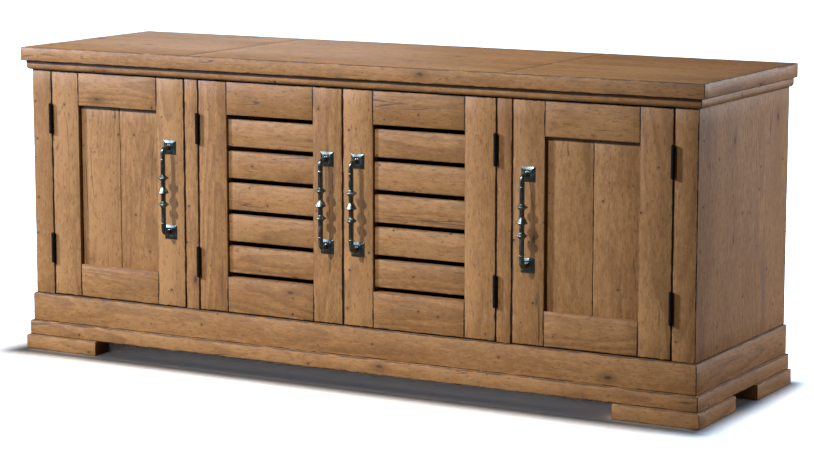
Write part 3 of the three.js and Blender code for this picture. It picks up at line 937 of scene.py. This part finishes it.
class CABINET_OT_feet(bpy.types.Operator):
    """Four corner feet, each of two blocks mitred together"""

    bl_idname = "cabinet.feet"
    bl_label = "Feet"

    def execute(self, context):
        block_wide = 58 * MM
        for row, inner_y in (("front", 1), ("rear", -1)):
            for side, inner_x in (("left", 1), ("right", -1)):
                self.foot(f"foot_{row}_{side}", inner_x, inner_y, block_wide)
        return {"FINISHED"}

    def foot(self, node, inner_x, inner_y, wide):
        low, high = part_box(node)
        corner = Vector((low.x if inner_x > 0 else high.x, low.y if inner_y > 0 else high.y, 0))
        inner = Vector((corner.x + inner_x * wide, corner.y + inner_y * wide, 0))
        a_low, a_high = low.copy(), high.copy()
        b_low, b_high = low.copy(), high.copy()
        a_low.y, a_high.y = sorted((corner.y, inner.y))
        b_low.x, b_high.x = sorted((corner.x, inner.x))
        for name, lo, hi, along, way in (("front_block", a_low, a_high, X, 1),
                                         ("side_block", b_low, b_high, Y, -1)):
            bm = extrude_section(box_section(lo, hi, along), along, lo[along], hi[along])
            away = Vector((-inner_x, inner_y, 0)) if way > 0 else Vector((inner_x, -inner_y, 0))
            saw(bm, corner, away)
            board(f"{node}_{name}", bm, along, Z, "root",
                  replaced=(node,) if way > 0 else ())


def grooved(low, high, axis, side, groove_low, groove_high, depth):
    """The section of a board with a groove in the face on that side ('a-', 'a+', 'b-' or 'b+').
    groove_low and groove_high bound the groove along the other direction."""
    a, b = (axis + 1) % 3, (axis + 2) % 3
    a0, a1, b0, b1 = low[a], high[a], low[b], high[b]
    g0, g1 = groove_low, groove_high
    if side == "a+":
        return [(a0, b0), (a1, b0), (a1, g0), (a1 - depth, g0), (a1 - depth, g1), (a1, g1),
                (a1, b1), (a0, b1)]
    if side == "a-":
        return [(a0, b0), (a1, b0), (a1, b1), (a0, b1), (a0, g1), (a0 + depth, g1),
                (a0 + depth, g0), (a0, g0)]
    if side == "b+":
        return [(a0, b0), (a1, b0), (a1, b1), (g1, b1), (g1, b1 - depth), (g0, b1 - depth),
                (g0, b1), (a0, b1)]
    return [(a0, b0), (g0, b0), (g0, b0 + depth), (g1, b0 + depth), (g1, b0), (a1, b0),
            (a1, b1), (a0, b1)]


class CABINET_OT_door_frames(bpy.types.Operator):
    """Stiles and rails of the four doors, grooved for what they hold"""

    bl_idname = "cabinet.door_frames"
    bl_label = "Door frames"

    def execute(self, context):
        play = sizes().groove_play
        for door, _, hand in doors():
            filling = f"{door}_panel" if f"{door}_panel" in frame["nodes"] else f"{door}_slat_1"
            held_low, held_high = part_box(filling)
            groove = (held_low.y - play, held_high.y + play)
            # painted shade: the stile faces and the top rail's underside that look into the recess are
            # darkened, fully beside a panel and a little beside slats; the outer sides along the gaps are
            # darkened too.
            recess_shade = 1.0 if filling.endswith("panel") else 0.2
            for part, side in (("hinge_stile", hand), ("lock_stile", -hand)):
                node = f"{door}_{part}"
                low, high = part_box(node)
                edge = high.x if side > 0 else low.x
                held_edge = held_low.x if side > 0 else held_high.x
                depth = abs(edge - held_edge) + play
                section = grooved(low, high, Z, "a+" if side > 0 else "a-", *groove, depth)
                bm = extrude_section(section, Z, low.z, high.z)
                board(f"{node}_timber", bm, Z, X, door, replaced=(node,),
                      soot=(recess_shade * side, 0, 0), ease=1.0 * MM, outline=0.4,
                      outer=((-side, 0, 0), (0, 0, 1), (0, 0, -1)))
            for part, side in (("top_rail", "b-"), ("bottom_rail", "b+")):
                node = f"{door}_{part}"
                low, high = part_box(node)
                if filling.endswith("panel"):
                    depth = (held_high.z - low.z if side == "b-" else high.z - held_low.z) + play
                    section = grooved(low, high, X, side, *groove, depth)
                else:
                    section = box_section(low, high, X)
                bm = extrude_section(section, X, low.x, high.x)
                board(f"{node}_timber", bm, X, Z, door, replaced=(node,), tone=-0.15,
                      soot=(0, 0, -recess_shade if side == "b-" else 0), ease=1.0 * MM,
                      outline=0.4, outer=((0, 0, 1 if side == "b-" else -1),))
        return {"FINISHED"}


class CABINET_OT_door_panels(bpy.types.Operator):
    """Two planks side by side in each outer door"""

    bl_idname = "cabinet.door_panels"
    bl_label = "Door panels"

    def execute(self, context):
        for door, _, _ in doors():
            node = f"{door}_panel"
            if node not in frame["nodes"]:
                continue
            low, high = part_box(node)
            middle = (low.x + high.x) / 2
            seam = 0.1 * MM
            for index, (x0, x1) in enumerate(((low.x, middle - seam), (middle + seam, high.x))):
                plain_board(f"{node}_plank_{index + 1}", Vector((x0, low.y, low.z)),
                            Vector((x1, high.y, high.z)), Z, X, door, wood=panel_wood,
                            slot="panel_wood", replaced=(node,) if index == 0 else (),
                            ease=2.0 * MM, tone=0.15)
        return {"FINISHED"}


class CABINET_OT_louvres(bpy.types.Operator):
    """Five level slats in each middle door"""

    bl_idname = "cabinet.louvres"
    bl_label = "Louvres"

    def execute(self, context):
        for door, _, _ in doors():
            for node in sorted(n for n in frame["nodes"] if n.startswith(f"{door}_slat_")):
                node_board(node, X, Z, door, ease=1.2 * MM)
        return {"FINISHED"}


# ---------------------------------------------------------------- ironwork

class CABINET_OT_hinges(bpy.types.Operator):
    """Butt hinges: turns of knuckle that belong to the door and to the case, leaves and a pin"""

    bl_idname = "cabinet.hinges"
    bl_label = "Hinges"

    def execute(self, context):
        for door, axis, hand in doors():
            for level in ("upper", "lower"):
                self.hinge(door, axis, hand, f"{door}_hinge_{level}")
        return {"FINISHED"}

    def hinge(self, door, axis, hand, node):
        s = sizes()
        low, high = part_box(node)
        radius = axis.y - low.y
        bottom, top = low.z, high.z
        tip = 2.0 * MM
        gap = 0.25 * MM
        pitch = (top - bottom - 2 * tip) / s.knuckles
        of_case, of_door = [], []
        for i in range(s.knuckles):
            z0 = bottom + tip + i * pitch + gap / 2
            z1 = z0 + pitch - gap
            lip = 0.4 * MM
            profile = [(0, z0), (radius - lip, z0), (radius, z0 + lip), (radius, z1 - lip),
                       (radius - lip, z1), (0, z1)]
            knuckle = spun(profile, Vector((axis.x, axis.y, 0)), steps=28)
            (of_case if i % 2 == 0 else of_door).append(knuckle)
            into_case = -hand if i % 2 == 0 else hand
            leaf_side = axis.x + into_case * 0.2 * MM
            edge = axis.x + into_case * (0.2 * MM + s.leaf)
            back = high.y
            neck = block((min(leaf_side, edge), axis.y, z0), (max(leaf_side, edge), back, z1))
            (of_case if i % 2 == 0 else of_door).append(neck)
        for cap_z, way in ((bottom + tip, -1), (top - tip, 1)):
            head = [(0, cap_z), (radius * 0.92, cap_z), (radius * 0.92, cap_z + way * tip * 0.4),
                    (radius * 0.6, cap_z + way * tip * 0.95), (0, cap_z + way * tip)]
            of_case.append(spun(head, Vector((axis.x, axis.y, 0)), steps=28))
        for name, parts, body, replaced in ((f"{node}_case_leaf", of_case, "root", ()),
                                            (f"{node}_door_leaf", of_door, door, (node,))):
            finish_piece(name, join(*parts), black_iron(), body, replaced,
                         smooth_below=40)


class CABINET_OT_pulls(bpy.types.Operator):
    """Forged pulls: two hipped plates, a bar bent at both ends, two sharp rings and a bell"""

    bl_idname = "cabinet.pulls"
    bl_label = "Pulls"

    def execute(self, context):
        for door, _, _ in doors():
            node = f"{door}_pull"
            low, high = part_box(node)
            self.pull(node, low, high, door)
        return {"FINISHED"}

    def pull(self, node, low, high, door):
        s = sizes()
        plate = high.x - low.x
        x = (low.x + high.x) / 2
        middle = (low.z + high.z) / 2
        reach_front = low.y
        ring = 13.3 * MM
        bar_y = reach_front + 16.5 * MM
        face = high.y
        arms = ((high.z - plate / 2, 1), (low.z + plate / 2, -1))
        parts = [self.bar(x, bar_y, face, arms, s)]
        for z, _ in arms:
            parts.append(self.plate(x, face, z, plate))
        turned = []
        neck = s.bar_radius
        sharp = [(0, -8.5), (0.9, -8.5), (1.08, -7.0), (1.35, -4.4), (2.24, -0.9), (2.3, 0.0),
                 (2.24, 0.9), (1.35, 4.4), (1.08, 7.0), (0.9, 8.5), (0, 8.5)]
        bell = [(0, -10), (0.9, -10), (1.1, -8.2), (1.4, -6.4), (2.2, -4.6), (2.28, -3.2),
                (2.1, -1.2), (1.75, 2.2), (1.4, 6.0), (1.12, 9.0), (0.9, 10.5), (0, 10.5)]
        for shape, z in ((sharp, s.ring_pitch), (bell, 0.0), (sharp, -s.ring_pitch)):
            profile = [(min(r * neck, ring), h * MM) for r, h in shape]
            turned.append(spun(profile, Vector((x, bar_y, middle + z)), steps=40))
        for way in (1, -1):
            collar_z = middle + way * (arms[0][0] - middle - 26 * MM)
            lip = [(0, -1.1 * MM), (neck * 1.0, -1.1 * MM), (neck * 1.07, 0), (neck * 1.0, 1.1 * MM),
                   (0, 1.1 * MM)]
            turned.append(spun(lip, Vector((x, bar_y, collar_z)), steps=40))
        for name, made, metal, replaced in (("forging", parts, forged_iron(), (node,)),
                                            ("turnings", turned, weathered_iron(), ())):
            finish_piece(f"{node}_{name}", join(*made), metal, door, replaced,
                         smooth_below=38)

    def bar(self, x, bar_y, face, arms, s):
        """Swept in one run: out of the upper plate, round the bend, down, round, and back in."""
        bm = bmesh.new()
        top, bottom = arms[0][0], arms[1][0]
        start = face - 1.5 * MM
        turn = Matrix.Translation((x, start, top)) @ Matrix.Rotation(math.pi / 2, 4, "X")
        bmesh.ops.create_circle(bm, cap_ends=True, radius=s.bar_radius, segments=24, matrix=turn)
        loop = bm.edges[:]
        loop = extrude_loop(bm, loop, Vector((0, bar_y + s.elbow - start, 0)))
        loop = spin_loop(bm, loop, (x, bar_y + s.elbow, top - s.elbow), (1, 0, 0), math.pi / 2)
        loop = extrude_loop(bm, loop, Vector((0, 0, bottom - top + 2 * s.elbow)))
        loop = spin_loop(bm, loop, (x, bar_y + s.elbow, bottom + s.elbow), (1, 0, 0), math.pi / 2)
        loop = extrude_loop(bm, loop, Vector((0, start - bar_y - s.elbow, 0)))
        bmesh.ops.edgeloop_fill(bm, edges=loop)
        bmesh.ops.remove_doubles(bm, verts=bm.verts, dist=1e-6)
        bmesh.ops.recalc_face_normals(bm, faces=bm.faces)
        return bm

    def plate(self, x, face, z, wide):
        """A square plate, its four sides hipped up to a small flat with a round boss."""
        half = wide / 2
        bm = block((x - half, face - 1.6 * MM, z - half), (x + half, face, z + half))
        front = min(bm.faces, key=lambda f: f.calc_center_median().y)
        steps = ((0.0, 0.4), (7.0, 3.0), (0.6, 0.0))
        for thickness, rise in steps:
            if thickness:
                bmesh.ops.inset_region(bm, faces=[front], thickness=thickness * MM, use_even_offset=True)
            if rise:
                for v in front.verts:
                    v.co.y -= rise * MM
        sharp = [e for e in bm.edges if e.calc_face_angle(0) > math.radians(15)]
        bmesh.ops.bevel(bm, geom=sharp, offset=0.5 * MM, offset_type="OFFSET", segments=2,
                        profile=0.5, affect="EDGES", material=-1, clamp_overlap=True)
        boss = [(0, 0), (8.2 * MM, 0), (7.8 * MM, 1.2 * MM), (6.6 * MM, 2.0 * MM), (0, 2.0 * MM)]
        collar = spun(boss, Vector((x, face - 4.6 * MM, z)), axis=Y, steps=32)
        return join(bm, collar)


def new_edges(made):
    return [g for g in made if isinstance(g, bmesh.types.BMEdge)]


def extrude_loop(bm, loop, move):
    made = bmesh.ops.extrude_edge_only(bm, edges=loop)["geom"]
    bmesh.ops.translate(bm, vec=move, verts=[g for g in made if isinstance(g, bmesh.types.BMVert)])
    return new_edges(made)


def spin_loop(bm, loop, centre, axis, angle, steps=10):
    made = bmesh.ops.spin(bm, geom=loop, cent=centre, axis=axis, angle=angle, steps=steps)
    return new_edges(made["geom_last"])


class CABINET_OT_catches(bpy.types.Operator):
    """A magnetic catch under the cornice for each door, and its strike plate"""

    bl_idname = "cabinet.catches"
    bl_label = "Catches"

    def execute(self, context):
        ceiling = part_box("cornice_board")[0].z
        for door, _, hand in doors():
            low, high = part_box(f"{door}_lock_stile")
            inner = low.x if hand > 0 else high.x
            x = inner - hand * 30 * MM
            back = high.y
            z = ceiling - 9 * MM
            strike = block((x - 19 * MM, back + 0.05 * MM, z - 6.5 * MM),
                           (x + 19 * MM, back + 1.3 * MM, z + 5 * MM), 0.4 * MM)
            finish_piece(f"{door}_strike_plate", strike, bright_steel(), door)
            body = block((x - 22 * MM, back + 2.4 * MM, z - 6 * MM),
                         (x + 22 * MM, back + 17 * MM, ceiling - 0.1 * MM), 1.0 * MM)
            poles = [block((x - 15 * MM, back + 1.6 * MM, z + h * MM),
                           (x + 15 * MM, back + 6 * MM, z + (h + 1.4) * MM), 0.2 * MM)
                     for h in (-3.4, 1.6)]
            finish_piece(f"{door}_magnet_case", body, inside_plastic(), "root")
            finish_piece(f"{door}_magnet_poles", join(*poles), bright_steel(), "root")
        return {"FINISHED"}


def inside_plastic():
    """Dark brown moulded plastic of the catches."""
    found = bpy.data.materials.get("Brown plastic")
    if found:
        return found
    material, tree, shader = surface("Brown plastic")
    place = add_node(tree, "ShaderNodeTexCoord").outputs["Object"]
    grain = noise_value(tree, place, (700, 700, 700), 2.0)
    tree.links.new(mix_colour(tree, grain, opaque((0.05, 0.032, 0.022)), opaque((0.065, 0.043, 0.03))),
                   shader.inputs["Base Color"])
    shader.inputs["Roughness"].default_value = 0.45
    bump(tree, shader, grain, 0.1 * MM, 0.3)
    return material


# ---------------------------------------------------------------- stage

def left_out(name, pieces):
    """A light-linking collection with every object but these."""
    group = bpy.data.collections.new(name)
    for piece in pieces:
        group.objects.link(piece)
    for member in group.collection_objects:
        member.light_linking.link_state = "EXCLUDE"
    return group


def place_light(name, data, place, target, kept_off=None, no_shadow=()):
    """Puts a light there, turned to the target. It doesn't light kept_off, and passes through
    the pieces in no_shadow."""
    light = bpy.data.objects.new(name, data)
    light.location = place
    light.rotation_euler = (Vector(target) - Vector(place)).to_track_quat("-Z", "Y").to_euler()
    bpy.context.scene.collection.objects.link(light)
    if kept_off:
        light.light_linking.receiver_collection = left_out(f"{name} lit", [kept_off])
    if no_shadow:
        light.light_linking.blocker_collection = left_out(f"{name} shadow", no_shadow)


def softbox(name, place, target, wide, high, power, colour, kept_off=None, no_shadow=()):
    data = bpy.data.lights.new(name, "AREA")
    data.shape, data.size, data.size_y, data.energy = "RECTANGLE", wide, high, power
    data.color = colour
    place_light(name, data, place, target, kept_off, no_shadow)


class CABINET_OT_stage(bpy.types.Operator):
    """Pale floor, soft light and the camera"""

    bl_idname = "cabinet.stage"
    bl_label = "Stage"

    def execute(self, context):
        st = stage()
        context.scene.view_settings.view_transform = "Standard"
        self.world(st.world)
        floor = self.floor(st.under_gain, st.floor_gain, st.far_gain)
        spot = bpy.data.lights.new("high", "SPOT")
        spot.energy, spot.spot_size, spot.spot_blend = st.high, math.radians(15.5), 1.0
        spot.shadow_soft_size = 0.28
        place_light("high", spot, (-2.6, -9.0, 8.3), (-0.47, -0.25, 0.45), floor)
        pulls = [o for o in bpy.data.objects if "_pull_" in o.name]
        white, cool, blue = (1.0, 1.0, 1.0), (1.0, 0.99, 1.06), (0.30, 0.48, 1.0)
        softbox("near", (-7.0, -4.14, 3.9), (-0.3, -0.25, 0.4), 1.0, 1.0, st.near, white, floor, pulls)
        softbox("left", (-1.9, -1.6, 1.3), (-0.8, -0.25, 0.5), 0.7, 0.7, st.left, blue, floor, pulls)
        softbox("overhead", (0.2, 0.55, 2.9), (0.2, 0.3, 0.4), 2.6, 1.2, st.overhead, cool)
        softbox("right", (3.6, 3.2, 1.7), (0.9, 0.0, 0.4), 2.4, 2.4, st.right, cool, floor)
        softbox("haze", (-2.5, 3.2, 1.6), (-0.6, 0.0, 0.7), 1.4, 1.0, st.haze, cool, floor)
        lens = bpy.data.cameras.new("camera")
        lens.lens, lens.sensor_width, lens.sensor_fit = st.lens, 36.0, "HORIZONTAL"
        lens.clip_end = 200.0
        camera = bpy.data.objects.new("camera", lens)
        camera.location = st.camera_place
        camera.rotation_euler = (math.pi / 2 - st.camera_dip, 0.0, st.camera_yaw)
        context.scene.collection.objects.link(camera)
        context.scene.camera = camera
        return {"FINISHED"}

    def floor(self, under_gain, gain, far_gain):
        """A wide floor that looks paler than the light it gives back, so that it stays white. How much
        paler is painted by distance from the cabinet's edge, which paints the shade under and round it:
        lifted deep underneath, a band of shade at the edge, white beyond; its cool tint paints out the
        warm light thrown on it by the wood.
        """
        bm = bmesh.new()
        bmesh.ops.create_grid(bm, x_segments=1, y_segments=1, size=60.0)
        mesh = bpy.data.meshes.new("floor")
        bm.to_mesh(mesh)
        bm.free()
        material, tree, shader = surface("Pale floor")
        seen = add_node(tree, "ShaderNodeLightPath").outputs["Is Camera Ray"]
        place = add_node(tree, "ShaderNodeTexCoord").outputs["Object"]
        reach = Vector((CAD_BOX[1][0], CAD_BOX[1][1], 0.0))
        beyond = vector_node(tree, "SUBTRACT", vector_node(tree, "ABSOLUTE", place), reach)
        outside = vector_node(tree, "LENGTH", vector_node(tree, "MAXIMUM", beyond, (0.0, 0.0, 0.0)))
        past_end, past_front, _ = add_node(tree, "ShaderNodeSeparateXYZ", {0: beyond}).outputs
        inside = math_node(tree, "MINIMUM", math_node(tree, "MAXIMUM", past_end, past_front), 0.0)
        edge = math_node(tree, "ADD", outside, inside)
        # painted shade: the gain by distance from the cabinet's edge shapes the shade on the floor.
        under = ramp_value(tree, edge, -0.17, -0.05, 6 * under_gain, under_gain)
        under = math_node(tree, "MULTIPLY", under, ramp_value(tree, edge, -0.11, 0.02, 1.0, 0.0))
        around = ramp_value(tree, edge, -0.015, 0.085, 0.0, gain)
        around = math_node(tree, "ADD", around, ramp_value(tree, edge, 0.4, 2.0, 0.0, far_gain))
        pale = colours().floor
        # painted colour of light: the cool tints cancel the warm light that the wood throws on the floor.
        lifted = vector_node(tree, "ADD", vector_node(tree, "MULTIPLY", under, (0.75, 0.88, 1.04)),
                             vector_node(tree, "MULTIPLY", around, (0.68, 0.90, 1.15)))
        tree.links.new(mix_colour(tree, seen, opaque(pale), lifted), shader.inputs["Base Color"])
        shader.inputs["Roughness"].default_value = 0.9
        shader.inputs["Specular IOR Level"].default_value = 0.1
        mesh.materials.append(material)
        floor = bpy.data.objects.new("floor", mesh)
        bpy.context.scene.collection.objects.link(floor)
        return floor

    def world(self, strength):
        """White surroundings, dimmer as a source of light than they look."""
        world = bpy.data.worlds.new("studio")
        world.use_nodes = True
        tree = world.node_tree
        background = tree.nodes["Background"]
        background.inputs["Color"].default_value = (1.0, 1.0, 1.0, 1.0)
        seen = add_node(tree, "ShaderNodeLightPath").outputs["Is Camera Ray"]
        tree.links.new(ramp_value(tree, seen, 0.0, 1.0, strength, 1.0),
                       background.inputs["Strength"])
        bpy.context.scene.world = world


# ---------------------------------------------------------------- panel and registration

PIECES = (CABINET_OT_top, CABINET_OT_cornice, CABINET_OT_case, CABINET_OT_shelves,
          CABINET_OT_plinth, CABINET_OT_feet, CABINET_OT_door_frames, CABINET_OT_door_panels,
          CABINET_OT_louvres, CABINET_OT_hinges, CABINET_OT_pulls, CABINET_OT_catches,
          CABINET_OT_stage)


class CABINET_PT_sidebar(bpy.types.Panel):
    """Buttons for every group of pieces, with the sizes and colours"""

    bl_label = "Media Cabinet"
    bl_idname = "CABINET_PT_sidebar"
    bl_space_type = "VIEW_3D"
    bl_region_type = "UI"
    bl_category = "Cabinet"

    def draw(self, context):
        for operator in PIECES:
            self.layout.operator(operator.bl_idname)
        for group in (context.scene.cabinet_sizes, context.scene.cabinet_colours,
                      context.scene.cabinet_stage):
            for name in group.__annotations__:
                self.layout.prop(group, name)


CLASSES = (CabinetSizes, CabinetColours, CabinetStage, *PIECES, CABINET_PT_sidebar)


def register():
    for cls in CLASSES:
        bpy.utils.register_class(cls)
    bpy.types.Scene.cabinet_sizes = PointerProperty(type=CabinetSizes)
    bpy.types.Scene.cabinet_colours = PointerProperty(type=CabinetColours)
    bpy.types.Scene.cabinet_stage = PointerProperty(type=CabinetStage)


def unregister():
    del bpy.types.Scene.cabinet_stage
    del bpy.types.Scene.cabinet_colours
    del bpy.types.Scene.cabinet_sizes
    for cls in reversed(CLASSES):
        bpy.utils.unregister_class(cls)


def main():
    register()
    bpy.ops.cabinet.top()
    bpy.ops.cabinet.cornice()
    bpy.ops.cabinet.case()
    bpy.ops.cabinet.shelves()
    bpy.ops.cabinet.plinth()
    bpy.ops.cabinet.feet()
    bpy.ops.cabinet.door_frames()
    bpy.ops.cabinet.door_panels()
    bpy.ops.cabinet.louvres()
    bpy.ops.cabinet.hinges()
    bpy.ops.cabinet.pulls()
    bpy.ops.cabinet.catches()
    bpy.ops.cabinet.stage()


if __name__ == "__main__":
    main()
